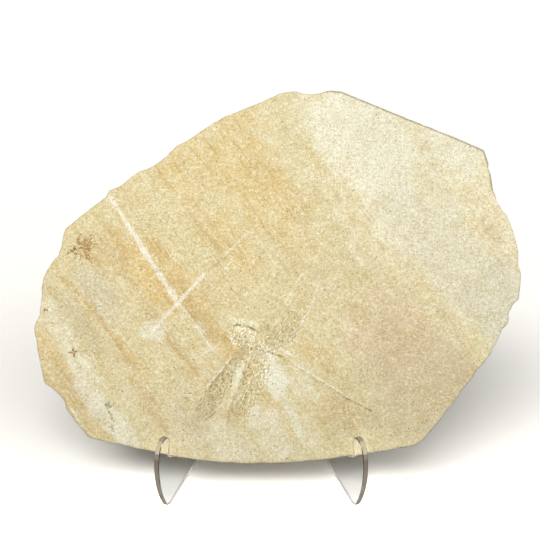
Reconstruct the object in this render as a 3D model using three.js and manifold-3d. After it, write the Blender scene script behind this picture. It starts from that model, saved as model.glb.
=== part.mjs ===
// A dragonfly in low relief on a thin, broken slab of lithographic limestone. The slab leans back
// on a clear acrylic easel: two plates that cross in half-lap slots, each with a hook and a foot in
// front, and an arm and a foot behind.
// Millimetres, +Z up, the slab's face towards -Y. The origin is on the shelf, under the middle of
// the whole.
import * as THREE from "three";
import { mergeVertices } from "three/addons/utils/BufferGeometryUtils.js";
import Module from "manifold-3d";

const wasm = await Module();
wasm.setup();

// ---- driving dimensions ----

const LEAN = THREE.MathUtils.degToRad(17.5); // the slab's tilt back from upright
const SLAB_THICKNESS = 7.2; // of the sheet that runs out to the rim
const SLAB_LIFT = 26; // from the shelf to the slab's lowest point
const GAP = 0.3; // left between pieces that rest on each other

const PLATE_THICKNESS = 4;
const PLATE_YAW = THREE.MathUtils.degToRad(35.5); // a plate's turn in from straight back
const FEET_SPACING = 116.8; // between the front feet
const EASEL_OFFSET = -10.3; // the easel stands a little left of the slab's middle
const PLATE_EDGE = 0.3; // bevel on the acrylic's cut edges

// The slab's outline in its own plane, x to the right and y up from its lowest point. Each row
// ends one stretch of the edge at x, y, and the stretch bows out by the third number.
const LOWER_EDGE = [
  [-76.5, 7.5, 0.5],
  [-66.5, 5.1, 0],
  [-9, 0, 1.5],
  [46, 4.8, 0.7],
  [84.5, 11, 0],
  [90, 15, 0.5],
];
const RIGHT_EDGE = [
  [113.5, 44.5, 0.4],
  [131.5, 68, 0],
  [138.5, 83, 0.3],
  [142.5, 87, -0.3],
  [143.5, 94.5, 0],
  [149, 102, -0.9],
  [150.5, 118, 0.2],
  [148.5, 125, -0.3],
  [149, 130, 0],
  [141.5, 154, 0.8],
  [138.5, 157, -0.3],
  [133, 169.5, 0],
  [130.5, 185, 0.2],
  [127.5, 194, 0],
];
const TOP_EDGE = [
  [85.5, 211.5, 0.4],
  [39, 230.5, 0],
  [31.5, 231, 0.2],
  [10.5, 230.5, -2.2],
  [0.5, 229, 0.4],
  [-2, 227.5, 0],
  [-25.5, 217.5, 0],
  [-33.5, 215, 0],
  [-43.5, 208.5, 0.3],
  [-56, 200, 0],
  [-63, 196.5, 0],
  [-73, 187, -0.3],
  [-85.5, 181, -0.8],
  [-97, 172, 0.4],
  [-104.5, 169, 0],
];
const LEFT_EDGE = [
  [-106, 166, 0],
  [-109.5, 162.5, -0.4],
  [-130, 147, 0.4],
  [-132, 144.5, 0],
  [-134, 134, 0.3],
  [-139, 125.5, -0.6],
  [-145, 115.5, 0.3],
  [-147, 101.5, 0.2],
  [-147.5, 92, 0],
  [-151, 84.5, 0],
  [-148.5, 69, 0.2],
  [-144.5, 50, 0],
  [-134.5, 42, -0.5],
  [-132, 39, 0],
  [-131, 34, 0],
  [-118, 17.5, 0.3],
  [-116, 16, 0],
];
const EDGE_STEP = 5.5; // between points along the edge

// The rim's profile from the face to the back: depth behind the face, how far the stone has
// broken in there, and how much that swings along the edge. The jumps are bedding ledges.
const RIM_ROWS = [
  { depth: 0, inset: 0.5, swing: 0.3 },
  { depth: 0.8, inset: 0, swing: 0 },
  { depth: 2.9, inset: 0.15, swing: 0.15 },
  { depth: 3.2, inset: 1.1, swing: 0.7 },
  { depth: 5.0, inset: 0.9, swing: 0.6 },
  { depth: 6.2, inset: 1.6, swing: 0.9 },
  { depth: SLAB_THICKNESS, inset: 2.6, swing: 1.3 },
];

// Two thinner beds that are left on the back, each the outline drawn in towards the middle.
const BACK_BEDS = [
  { thickness: 1.1, reach: 0.87, phase: 0.4 },
  { thickness: 0.9, reach: 0.66, phase: 2.1 },
];
const BED_ROOT = 0.6; // how deep a bed's solid starts inside the stone under it
const FLAKE_SCARS = 22; // shallow scoops that were struck off the back's rim

// The dragonfly: its body runs down to the right, across the wings.
const HEAD = { x: -22, y: 79.3, halfWidth: 6.6, halfDepth: 5.2, turn: -0.14, rise: 1.3 };
const THORAX = { x: -11, y: 73.2, halfWidth: 8.6, halfDepth: 5.4, turn: -0.42, rise: 1.5 };
const ABDOMEN = {
  line: [[-6, 71.5], [-0.6, 68.8], [14.8, 58.4], [26, 51.4], [40, 42.4], [52, 36.4], [58.5, 32.6]],
  halfWidths: [1.9, 1.2, 1.3, 1.5, 1.6, 1.3, 0.6],
  rings: 9,
  rise: 1.0,
};
// Each wing is the space between its leading and trailing edges, from the root to the tip.
const WINGS = {
  left_fore: {
    lead: [[-21, 74], [-32.1, 60.6], [-43, 47], [-52, 32.8], [-54.4, 24.7]],
    trail: [[-17, 70], [-26.5, 57], [-31, 44.5], [-40.8, 31.5], [-54.4, 24.7]],
  },
  left_hind: {
    lead: [[-15, 71], [-19.2, 60.6], [-24, 47], [-30.3, 32.1], [-30.9, 19.2]],
    trail: [[-9, 70], [-4.9, 59.3], [-8, 50.1], [-17, 33.6], [-30.9, 19.2]],
  },
  right_fore: {
    lead: [[-15, 77], [-8.7, 90.2], [-4.3, 108.8], [3.1, 127.9], [14.2, 137.8]],
    trail: [[-9, 77], [-1.4, 89.8], [8.7, 105.7], [16.7, 122.4], [14.2, 137.8]],
  },
  right_hind: {
    lead: [[-8, 75], [0, 87.2], [10, 103.2], [18, 115.4], [24.7, 119.9]],
    trail: [[-2, 70], [9.6, 76], [17.5, 91], [23.5, 105.7], [24.7, 119.9]],
  },
};
const WING_RISE = 0.45;
const VEIN_RISE = 0.85;
const VEIN_WIDTH = 0.9;
const VEIN_PLACES = [0.02, 0.16, 0.38, 0.62, 0.98]; // across the wing, from its leading edge
const RELIEF_ROOT = 1.2; // how deep the relief's solids start inside the slab

// The plate's profile: u runs back along the plate and v up, from the front foot.
const SEAT = { u: 1.3, v: 31 }; // the front of the rest that the slab's edge stands on
const HOOK = { bulge: -9.6, height: 45.4, tip: -1.4 };
const UNDERSIDE = { u: 20, v: 12.8 }; // the end of the front leg's straight lower edge
const ARCH = { springU: 27.5, springV: 21, crownU: 66, crownV: 48, footU: 127 };
const REAR_FOOT = 150;
const ARM_HEIGHT = 120;
const ARM_TIP = 10; // width of the arm's rounded end

// ---- joining and cutting ----

// A closed geometry as a solid, its doubled vertices merged.
function solidOf(geometry) {
  geometry.deleteAttribute("normal");
  geometry.deleteAttribute("uv");
  const merged = mergeVertices(geometry, 1e-4);
  return new wasm.Manifold(new wasm.Mesh({
    numProp: 3,
    vertProperties: new Float32Array(merged.attributes.position.array),
    triVerts: new Uint32Array(merged.index.array),
  }));
}

function geometryOf(solid) {
  const mesh = solid.getMesh();
  const geometry = new THREE.BufferGeometry();
  geometry.setAttribute("position", new THREE.BufferAttribute(mesh.vertProperties, 3));
  geometry.setIndex(new THREE.BufferAttribute(mesh.triVerts, 1));
  const faceted = geometry.toNonIndexed();
  faceted.computeVertexNormals();
  return faceted;
}

// ---- the slab ----

// The broken outline as points, anticlockwise from the lower left corner.
function slabOutline() {
  const stretches = [...LOWER_EDGE, ...RIGHT_EDGE, ...TOP_EDGE, ...LEFT_EDGE];
  const points = [];
  let [startX, startY] = stretches.at(-1);
  for (const [x, y, bow] of stretches) {
    const start = new THREE.Vector2(startX, startY);
    const run = new THREE.Vector2(x, y).sub(start);
    const outwards = new THREE.Vector2(run.y, -run.x).normalize();
    const steps = Math.max(1, Math.round(run.length() / EDGE_STEP));
    for (let step = 1; step <= steps; step++) {
      const t = step / steps;
      const swell = 4 * bow * t * (1 - t);
      points.push(start.clone().addScaledVector(run, t).addScaledVector(outwards, swell));
    }
    [startX, startY] = [x, y];
  }
  return points;
}

// A slow, uneven swing between -1 and 1 along the edge.
function edgeSwing(along, phase) {
  return 0.6 * Math.sin(along / 4.7 + phase) + 0.4 * Math.sin(along / 11.3 + 2.3 * phase);
}

// The outline drawn in square to the edge, by an amount that depends on the place along it.
function drawnIn(outline, insetAt) {
  let along = 0;
  return outline.map((point, i) => {
    const before = outline.at(i - 1);
    const after = outline[(i + 1) % outline.length];
    along += point.distanceTo(before);
    const run = after.clone().sub(before).normalize();
    const inset = insetAt(along);
    return new THREE.Vector2(point.x - run.y * inset, point.y + run.x * inset);
  });
}

// The main sheet: one loop of points at each row of the rim, closed by the face and the back.
function mainSheet(outline) {
  const count = outline.length;
  const loops = RIM_ROWS.map((row, r) =>
    drawnIn(outline, (along) => row.inset + row.swing * edgeSwing(along, r)));
  const positions = loops.flatMap((loop, r) => loop.flatMap((p) => [p.x, p.y, -RIM_ROWS[r].depth]));
  const faces = [];
  for (let r = 0; r + 1 < loops.length; r++) {
    for (let i = 0; i < count; i++) {
      const front = r * count + i;
      const frontNext = r * count + ((i + 1) % count);
      faces.push(front, front + count, frontNext, frontNext, front + count, frontNext + count);
    }
  }
  const backStart = (loops.length - 1) * count;
  for (const [a, b, c] of THREE.ShapeUtils.triangulateShape(loops[0], [])) {
    faces.push(a, b, c);
  }
  for (const [a, b, c] of THREE.ShapeUtils.triangulateShape(loops.at(-1), [])) {
    faces.push(backStart + a, backStart + c, backStart + b);
  }
  const geometry = new THREE.BufferGeometry();
  geometry.setAttribute("position", new THREE.Float32BufferAttribute(positions, 3));
  geometry.setIndex(faces);
  return solidOf(geometry);
}

// A bed on the back, from inside the stone in front of it to its own back.
function backBed(outline, middle, bed, frontDepth) {
  const edge = outline.filter((_, i) => i % 2 === 0).map((point) => {
    const arm = point.clone().sub(middle);
    const angle = arm.angle();
    const wave = 0.05 * Math.sin(2 * angle + bed.phase) + 0.03 * Math.sin(5 * angle + bed.phase)
      + 0.015 * Math.sin(11 * angle);
    return middle.clone().addScaledVector(arm, bed.reach + wave);
  });
  const depth = BED_ROOT + bed.thickness;
  const geometry = new THREE.ExtrudeGeometry(new THREE.Shape(edge), { depth, bevelEnabled: false });
  geometry.translate(0, 0, -(frontDepth + bed.thickness));
  return solidOf(geometry);
}

// Shallow round scoops along the back's rim, where flakes were struck off to trim the slab.
function flakeScars(outline) {
  const scars = [];
  for (let k = 0; k < FLAKE_SCARS; k++) {
    const place = outline[Math.floor(((k + 0.5) / FLAKE_SCARS) * outline.length)];
    const halfWidth = 8 + 3 * Math.sin(2.4 * k);
    const scoop = new THREE.SphereGeometry(1, 10, 6);
    scoop.scale(halfWidth, halfWidth, 2.6 + 0.7 * Math.sin(1.7 * k + 1));
    scoop.translate(place.x, place.y, -SLAB_THICKNESS - 0.4);
    scars.push(solidOf(scoop));
  }
  return scars;
}

// ---- the dragonfly's relief, on the slab's face ----

// Raises a flat shape over the face, with its edge rounded off by a bevel.
function raised(shape, rise, bevel) {
  const geometry = new THREE.ExtrudeGeometry(shape, {
    depth: RELIEF_ROOT + rise - 2 * bevel,
    bevelEnabled: bevel > 0,
    bevelThickness: bevel,
    bevelSize: bevel,
    bevelOffset: -bevel,
    bevelSegments: 1,
    curveSegments: 12,
  });
  geometry.translate(0, 0, bevel - RELIEF_ROOT);
  return solidOf(geometry);
}

function ovalRelief({ x, y, halfWidth, halfDepth, turn, rise }) {
  const oval = new THREE.Shape();
  oval.absellipse(x, y, halfWidth, halfDepth, 0, 2 * Math.PI, false, turn);
  return raised(oval, rise, 0.5);
}

const smoothLine = (rows) => new THREE.SplineCurve(rows.map(([x, y]) => new THREE.Vector2(x, y)));

// A strip along a line, whose half width may change from one end to the other.
function strip(points, halfWidthAt) {
  const left = [];
  const right = [];
  points.forEach((point, i) => {
    const before = points[Math.max(0, i - 1)];
    const after = points[Math.min(points.length - 1, i + 1)];
    const run = after.clone().sub(before).normalize();
    const half = halfWidthAt(i / (points.length - 1));
    left.push(new THREE.Vector2(point.x - run.y * half, point.y + run.x * half));
    right.push(new THREE.Vector2(point.x + run.y * half, point.y - run.x * half));
  });
  return new THREE.Shape([...right, ...left.reverse()]);
}

// The abdomen narrows at each of its rings.
function abdomenRelief() {
  const { line, halfWidths, rings, rise } = ABDOMEN;
  const widthAt = (t) => {
    const place = t * (halfWidths.length - 1);
    const first = Math.min(Math.floor(place), halfWidths.length - 2);
    const width = THREE.MathUtils.lerp(halfWidths[first], halfWidths[first + 1], place - first);
    return width - 0.25 * Math.abs(Math.cos(rings * Math.PI * t)) ** 6;
  };
  return raised(strip(smoothLine(line).getPoints(rings * 4), widthAt), rise, 0.3);
}

// A wing's thin blade, and its long veins as ridges that share its root and tip.
function wingRelief({ lead, trail }) {
  const leadLine = smoothLine(lead);
  const trailLine = smoothLine(trail);
  const steps = 10;
  const edge = [...trailLine.getPoints(steps), ...leadLine.getPoints(steps).reverse().slice(1)];
  if (THREE.ShapeUtils.area(edge) < 0) edge.reverse();
  const blade = raised(new THREE.Shape(edge), WING_RISE, 0);
  const veins = VEIN_PLACES.map((across) => {
    const points = [];
    for (let step = 0; step < steps; step++) {
      const t = step / steps;
      points.push(leadLine.getPoint(t).lerp(trailLine.getPoint(t), across));
    }
    return raised(strip(points, () => VEIN_WIDTH / 2), VEIN_RISE, 0);
  });
  return [blade, ...veins];
}

function limestoneSlab() {
  const outline = slabOutline();
  const bounds = new THREE.Box2().setFromPoints(outline);
  const middle = bounds.getCenter(new THREE.Vector2());
  let depth = SLAB_THICKNESS;
  const beds = BACK_BEDS.map((bed) => {
    const solid = backBed(outline, middle, bed, depth);
    depth += bed.thickness;
    return solid;
  });
  let stone = mainSheet(outline);
  for (const scar of flakeScars(outline)) stone = stone.subtract(scar);
  const relief = [
    ovalRelief(HEAD),
    ovalRelief(THORAX),
    abdomenRelief(),
    ...Object.values(WINGS).flatMap(wingRelief),
  ];
  for (const solid of [...beds, ...relief]) stone = stone.add(solid);
  return geometryOf(stone);
}

// ---- the easel ----

// The slab's back runs up the plate at this slope, and its lower edge runs down at the other.
const ARM_SLOPE = Math.tan(LEAN) / Math.cos(PLATE_YAW);
const SEAT_FALL = Math.cos(PLATE_YAW) * Math.tan(LEAN);
const REST_LENGTH = 15.2; // along the seat, from the hook to the arm

function plateShape() {
  const armFoot = { u: SEAT.u + REST_LENGTH, v: SEAT.v - SEAT_FALL * REST_LENGTH };
  const armTop = { u: armFoot.u + ARM_SLOPE * (ARM_HEIGHT - armFoot.v), v: ARM_HEIGHT };
  const shape = new THREE.Shape();
  shape.moveTo(0.8, 0);
  // under the front leg, over the arch and down to the rear foot
  shape.lineTo(UNDERSIDE.u, UNDERSIDE.v);
  shape.quadraticCurveTo(24.5, 15.8, ARCH.springU, ARCH.springV);
  shape.bezierCurveTo(36, 36, 48, ARCH.crownV, ARCH.crownU, ARCH.crownV);
  shape.bezierCurveTo(92, ARCH.crownV, 109, 22, ARCH.footU, 0);
  shape.lineTo(REAR_FOOT, 0);
  // up the back and round the arm's end
  shape.bezierCurveTo(141, 22, 122, 46, 101, 64);
  shape.bezierCurveTo(84, 79, 74, 96, armTop.u + ARM_TIP + 1.6, armTop.v - 4);
  shape.quadraticCurveTo(armTop.u + ARM_TIP, armTop.v + 2, armTop.u + ARM_TIP / 2, armTop.v + 2);
  shape.quadraticCurveTo(armTop.u + 0.8, armTop.v + 2, armTop.u, armTop.v);
  // down the arm to the seat, and up the hook's back
  shape.lineTo(armFoot.u, armFoot.v);
  shape.lineTo(SEAT.u + 1.2, SEAT.v - SEAT_FALL * 1.2);
  shape.quadraticCurveTo(SEAT.u, SEAT.v, SEAT.u, SEAT.v + 1.6);
  shape.lineTo(2, 40);
  // round the hook's tip and down the bowed front edge to the toe
  shape.bezierCurveTo(2.4, 43, 1.2, HOOK.height, HOOK.tip, HOOK.height);
  shape.bezierCurveTo(HOOK.tip - 4.4, HOOK.height, HOOK.bulge + 0.6, 40, HOOK.bulge, SEAT.v);
  shape.bezierCurveTo(HOOK.bulge - 0.6, 20, HOOK.bulge + 2, 8, -2.2, 0);
  shape.closePath();
  return shape;
}

const CROSSING = FEET_SPACING / 2 / Math.sin(PLATE_YAW); // from the front foot to the slots
const SLOT_FLOOR = 47.5; // where the two slots meet
const SLOT_WIDTH = 2 * (PLATE_THICKNESS / 2 + GAP + (PLATE_THICKNESS / 2) * Math.cos(2 * PLATE_YAW))
  / Math.sin(2 * PLATE_YAW);
const SLOT_CUT = 40; // longer than any slot is deep

// One plate with its slot, open at the top (1) or at the bottom (-1).
function acrylicPlate(slotSide) {
  const sheet = new THREE.ExtrudeGeometry(plateShape(), {
    depth: PLATE_THICKNESS - 2 * PLATE_EDGE,
    bevelEnabled: true,
    bevelThickness: PLATE_EDGE,
    bevelSize: PLATE_EDGE,
    bevelOffset: -PLATE_EDGE,
    bevelSegments: 1,
    curveSegments: 12,
  });
  sheet.translate(0, 0, PLATE_EDGE - PLATE_THICKNESS / 2);
  const cutter = new THREE.BoxGeometry(SLOT_WIDTH, SLOT_CUT, 2 * PLATE_THICKNESS);
  cutter.translate(CROSSING, SLOT_FLOOR + slotSide * (SLOT_CUT / 2 - GAP / 2), 0);
  return geometryOf(solidOf(sheet).subtract(solidOf(cutter)));
}

// A plate stood up on its feet and turned in: side is -1 for the left foot and 1 for the right.
function standingPlate(name, side, slotSide, material) {
  const plate = new THREE.Mesh(acrylicPlate(slotSide), material);
  plate.name = name;
  plate.rotation.x = Math.PI / 2;
  const stand = new THREE.Group();
  stand.rotation.z = Math.PI / 2 + side * PLATE_YAW;
  stand.position.x = (side * FEET_SPACING) / 2;
  stand.add(plate);
  return stand;
}

// ---- the whole ----

const limestone = new THREE.MeshStandardMaterial({ color: "#e2d2a6", roughness: 0.85, metalness: 0 });
const acrylic = new THREE.MeshStandardMaterial({
  color: "#eef1f0",
  roughness: 0.05,
  metalness: 0,
  transparent: true,
  opacity: 0.3,
});

const slab = new THREE.Mesh(limestoneSlab(), limestone);
slab.name = "limestone_slab";
slab.rotation.x = Math.PI / 2 - LEAN;
slab.position.set(0, 1.6, SLAB_LIFT);

const easel = new THREE.Group();
easel.position.x = EASEL_OFFSET;
easel.add(standingPlate("left_acrylic_plate", -1, 1, acrylic));
easel.add(standingPlate("right_acrylic_plate", 1, -1, acrylic));

const whole = new THREE.Group();
whole.add(slab, easel);
whole.updateMatrixWorld(true);
const box = new THREE.Box3().setFromObject(whole, true);
const middle = box.getCenter(new THREE.Vector3());
whole.position.set(-middle.x, -middle.y, -box.min.z);

const fossil = new THREE.Group();
fossil.add(whole);

export default fossil;
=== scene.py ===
"""A dragonfly's impression on a thin, broken slab of lithographic limestone, on an acrylic easel.

The slab's face, rim and back are one dense mesh over the CAD slab. The fossil is low relief in the
face, and Geometry Nodes lay the net of veins over its wings. Stains, calcite veins and dendrites
are distances in millimetres, stored on the mesh, that the stone's material turns to colour.
"""

import math

import bmesh
import bpy
import numpy as np
from mathutils import Matrix, Vector
from mathutils.bvhtree import BVHTree
from mathutils.geometry import delaunay_2d_cdt


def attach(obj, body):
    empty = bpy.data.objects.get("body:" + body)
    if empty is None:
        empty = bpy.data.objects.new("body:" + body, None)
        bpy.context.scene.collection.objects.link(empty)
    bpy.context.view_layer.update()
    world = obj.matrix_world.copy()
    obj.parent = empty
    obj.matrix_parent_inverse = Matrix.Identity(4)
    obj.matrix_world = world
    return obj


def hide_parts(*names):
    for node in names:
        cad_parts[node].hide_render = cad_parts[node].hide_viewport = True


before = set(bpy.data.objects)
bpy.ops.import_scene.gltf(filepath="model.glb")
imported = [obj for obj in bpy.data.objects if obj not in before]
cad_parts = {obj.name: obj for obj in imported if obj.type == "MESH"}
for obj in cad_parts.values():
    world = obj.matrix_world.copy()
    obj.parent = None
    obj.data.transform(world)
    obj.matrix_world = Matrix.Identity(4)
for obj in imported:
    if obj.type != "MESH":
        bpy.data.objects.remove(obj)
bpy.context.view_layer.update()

MM = 0.001
SLAB = "limestone_slab"
PLATES = ("left_acrylic_plate", "right_acrylic_plate")

# ---- the slab's own frame: x to the right, y up the face, z out of it, in millimetres ----

LEAN = math.radians(17.5)  # back from upright
SLAB_FOOT = Vector((0.25, -55.515, 26.0))  # the middle of the slab's lower edge, on the face
SLAB_TURN = math.pi / 2 - LEAN
SLAB_FRAME = Matrix.Translation(SLAB_FOOT * MM) @ Matrix.Rotation(SLAB_TURN, 4, "X")
SHEET = 7.2  # thickness of the sheet that runs out to the rim
WIDEST_DEPTH = 0.8  # behind the face, where the rim reaches furthest out

# ---- the fossil, as in the part ----

HEAD = {"centre": (-22, 79.3), "half": (6.6, 5.2), "turn": -0.14, "rise": 0.8}
THORAX = {"centre": (-11, 73.2), "half": (8.6, 5.4), "turn": -0.42, "rise": 0.9}
ABDOMEN_LINE = ((-6, 71.5), (-0.6, 68.8), (14.8, 58.4), (26, 51.4), (40, 42.4), (52, 36.4), (58.5, 32.6))
ABDOMEN_HALF_WIDTHS = (1.9, 1.2, 1.3, 1.5, 1.6, 1.3, 0.6)
ABDOMEN_RISE = 0.4
SEGMENT_LENGTH = 7.4
WINGS = {
    "left_fore": {
        "lead": ((-21, 74), (-32.1, 60.6), (-43, 47), (-52, 32.8), (-54.4, 24.7)),
        "trail": ((-17, 70), (-26.5, 57), (-31, 44.5), (-40.8, 31.5), (-54.4, 24.7)),
    },
    "left_hind": {
        "lead": ((-15, 71), (-19.2, 60.6), (-24, 47), (-30.3, 32.1), (-30.9, 19.2)),
        "trail": ((-9, 70), (-4.9, 59.3), (-8, 50.1), (-17, 33.6), (-30.9, 19.2)),
    },
    "right_fore": {
        "lead": ((-15, 77), (-8.7, 90.2), (-4.3, 108.8), (3.1, 127.9), (14.2, 137.8)),
        "trail": ((-9, 77), (-1.4, 89.8), (8.7, 105.7), (16.7, 122.4), (14.2, 137.8)),
    },
    "right_hind": {
        "lead": ((-8, 75), (0, 87.2), (10, 103.2), (18, 115.4), (24.7, 119.9)),
        "trail": ((-2, 70), (9.6, 76), (17.5, 91), (23.5, 105.7), (24.7, 119.9)),
    },
}
WING_RISE = 0.14
LEAD_RISE = 0.3
# How dark the wing's film is, at even steps from its root to its tip.
FILM = {
    "left_fore": (0.45, 0.2, 0.35, 0.6, 0.5),
    "left_hind": (0.2, 0.1, 0.25, 0.45, 0.35),
    "right_fore": (0.2, 0.1, 0.0, 0.15, 0.0),
    "right_hind": (0.3, 0.3, 0.15, 0.05, 0.0),
}
# How much of the fine hatching between the veins is left, the same way.
HATCH = {
    "left_fore": (0.7, 1.0, 1.0, 0.5, 0.35),
    "left_hind": (0.7, 1.0, 0.9, 0.35, 0.2),
    "right_fore": (0.7, 0.4, 0.3, 0.3, 0.1),
    "right_hind": (0.8, 0.8, 0.4, 0.25, 0.1),
}
WINGS_TURN = math.radians(61)  # the way that all four wings run, near enough
WIDE_HALO = 3  # how far round the head and the thorax the fine hatching reaches
# The net of veins on each wing: cells along it and across it, vein radius, share of veins lost,
# and how dark the veins' traces are from root to tip.
NETS = {
    "left_fore": {"cells": (32, 8), "radius": 0.2, "lost": 0.5, "trace": (0.35, 0.35, 0.5, 0.4, 0.35)},
    "left_hind": {"cells": (32, 9), "radius": 0.19, "lost": 0.55, "trace": (0.25, 0.35, 0.4, 0.25, 0.15)},
    "right_fore": {"cells": (34, 8), "radius": 0.13, "lost": 0.6, "trace": (0.35, 0.2, 0.15, 0.15, 0.0)},
    "right_hind": {"cells": (32, 9), "radius": 0.13, "lost": 0.6, "trace": (0.45, 0.45, 0.3, 0.12, 0.0)},
}
NET_JITTER = 0.7  # how far each corner of the net may stray
NET_LIFT = 0.04  # how far the veins' middles stand out of the face
NET_START, NET_REACH = 6, 20  # how far before the face the net starts, and how far it looks for it
LONG_VEIN_POINTS = 24
# Long veins: where each starts and ends, as a share of the way along the wing and across it.
LONG_VEINS = (
    ((0.0, 0.03), (0.97, 0.1)), ((0.0, 0.14), (0.6, 0.12)), ((0.02, 0.25), (0.95, 0.35)),
    ((0.05, 0.35), (0.85, 0.8)), ((0.03, 0.5), (0.6, 0.97)), ((0.03, 0.62), (0.38, 0.97)),
    ((0.2, 0.4), (0.92, 0.55)),
)

# ---- markings on the face: lines in the slab's millimetres, with their half widths ----

CALCITE_VEINS = (
    (((-105, 167.5), (-84, 133.5), (-61.8, 99.5)), 1.45),
    (((-79, 79), (-76, 84), (-61.8, 99.5), (-43.9, 119.3)), 1.15),
    (((-36, 125.4), (-20.4, 141.5)), 0.45), (((-33.4, 120.5), (-27.8, 126)), 0.4),
)
DARK_LINES = (
    (((-27.6, 85.1), (-25.3, 86), (-22.2, 85.4)), 0.56),
    (((-20.4, 85), (-17.1, 84.4), (-14.3, 82.9), (-11.6, 81)), 0.48),
    (((-28.7, 81.8), (-28.1, 80.8)), 0.35), (((-17.3, 80.3), (-16.9, 79.7)), 0.35),
    (((-17, 72), (-12.5, 71), (-9.9, 70.1), (-5.7, 69.1), (-1.1, 67.5), (5.4, 65.3)), 0.38),
    (((12, 60), (20, 55)), 0.2), (((27, 50.8), (40.2, 42), (49.4, 37.1), (58.1, 32.8)), 0.2),
    (((55.5, 34.2), (58.5, 32.4)), 0.7), (((41, 41.3), (44, 39.6)), 0.5),
    (((-26, 67.4), (-36, 55.6), (-44.8, 44.2)), 0.35),
    (((-35.8, 34.6), (-41, 30), (-47.6, 25.4)), 0.35), (((-5, 64.3), (-5.6, 57.5)), 0.35),
)
BRIGHT_LINES = (
    (((-28.2, 66.9), (-38, 54.5), (-46, 46.4)), 0.48),
    (((19.4, 119.9), (14.2, 116.2), (9.8, 109.1), (1.9, 95.8)), 0.34),
    (((25.2, 113.1), (22.9, 104.4), (19.8, 95.8), (15.9, 89.7), (11.1, 77.3)), 0.34),
    (((1.8, 71.2), (10, 66.4)), 1.3), (((10, 62), (18, 57), (30, 49.9), (44, 41.3)), 0.3),
    (((-29.4, 81.5), (-28.2, 77), (-26, 72.5)), 1.3), (((-45.1, 24.1), (-37.1, 30.3)), 0.35),
    (((-61.8, 99.5), (-53.8, 90.5), (-44, 79.5)), 0.3), (((-52, 87.1), (-39.5, 69.2)), 0.48),
    (((-50.7, 65.5), (-37.1, 73.5)), 0.4), (((-130.2, 38), (-125.5, 30.5), (-120.3, 21)), 0.5),
)
# Broad pale smears: the gap between the two left wings, and the stone beside the head.
PALE_LINES = (
    (((-21.2, 63), (-24.7, 52.6), (-28.5, 42.3)), 2.2), (((-28.5, 42.3), (-31, 34)), 1.0),
    (((-25, 84), (-17, 82)), 0.8), (((-30, 91), (-24.5, 88.3), (-18, 87.8), (-12.5, 86)), 2.0),
)
# Broad brown smears: beside that gap, at the left wings' roots, and in the right hind wing.
BROWN_LINES = (
    (((-20.2, 61.5), (-21.4, 54), (-25.2, 45.5)), 1.1),
    (((-25.4, 44.4), (-29.6, 33.5), (-32.2, 20.5)), 0.55), (((-25, 69.2), (-18.5, 67.6)), 2.0),
    (((-8.6, 87), (-4.6, 81.8)), 2.0), (((-30, 62.5), (-42, 47.5)), 0.5),
    (((-43.5, 119.4), (-29, 130.5)), 0.6),
)

# Each dendrite's stem: where it starts, which way it grows, its length and its half width.
RUST_DENDRITES = (
    ((-128.5, 131.5), 0.45, 8, 0.4), ((-124, 134), 1.15, 8, 0.36), ((-122, 134), 0.75, 10, 0.4),
    ((-121, 134), 0.4, 10, 0.4), ((-120, 133.5), 1.5, 6, 0.34), ((-119, 134), 1.0, 7, 0.36),
    ((-122, 133), 0.0, 10, 0.34), ((-121, 132), -0.6, 8, 0.32), ((-120, 132), -1.15, 9, 0.32),
    ((-122, 131.5), -1.6, 7, 0.28), ((-124, 132.5), 2.3, 4, 0.3), ((-123.5, 132), -2.1, 7, 0.32),
    ((-125, 132.5), -2.8, 5, 0.28), ((-127.4, 68), 0.6, 2.4, 0.7), ((-126.4, 68.8), 1.7, 3.0, 0.75),
    ((-126.4, 68.8), 3.0, 2.8, 0.7), ((-126.4, 68.8), 0.3, 3.0, 0.7),
    ((-126.4, 68.8), -1.2, 2.8, 0.7), ((-144.6, 94), 1.2, 2.4, 0.6), ((-143.6, 95), 0.1, 1.6, 0.5),
)
MANGANESE_DENDRITES = (
    ((-105.2, 34.2), -1.2, 3.4, 0.3), ((-103.8, 31.4), -1.4, 5.9, 0.24),
    ((-102.9, 25.6), -1.3, 5.4, 0.22), ((-105.2, 34), 2.1, 4.4, 0.27),
    ((-105.2, 34), 1.7, 4.6, 0.27), ((-105.2, 34), 1.25, 5, 0.27), ((-105.2, 34), 0.8, 4.6, 0.27),
    ((-58.7, 41), -0.3, 5, 0.16), ((-56, 43.5), 0.1, 4, 0.14), ((-122.8, 58.6), 1.3, 2.2, 0.2),
)
CRACK = ((-140.6, 121.8), (-134, 127.2), (-125, 133.4))  # the dark crack that the tuft grows from

# ---- stains, in the bedding's own turn: w across the bands and u up along them ----

BANDS_TURN = math.atan2(0.6, 0.8)  # the bands run down to the right
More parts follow.
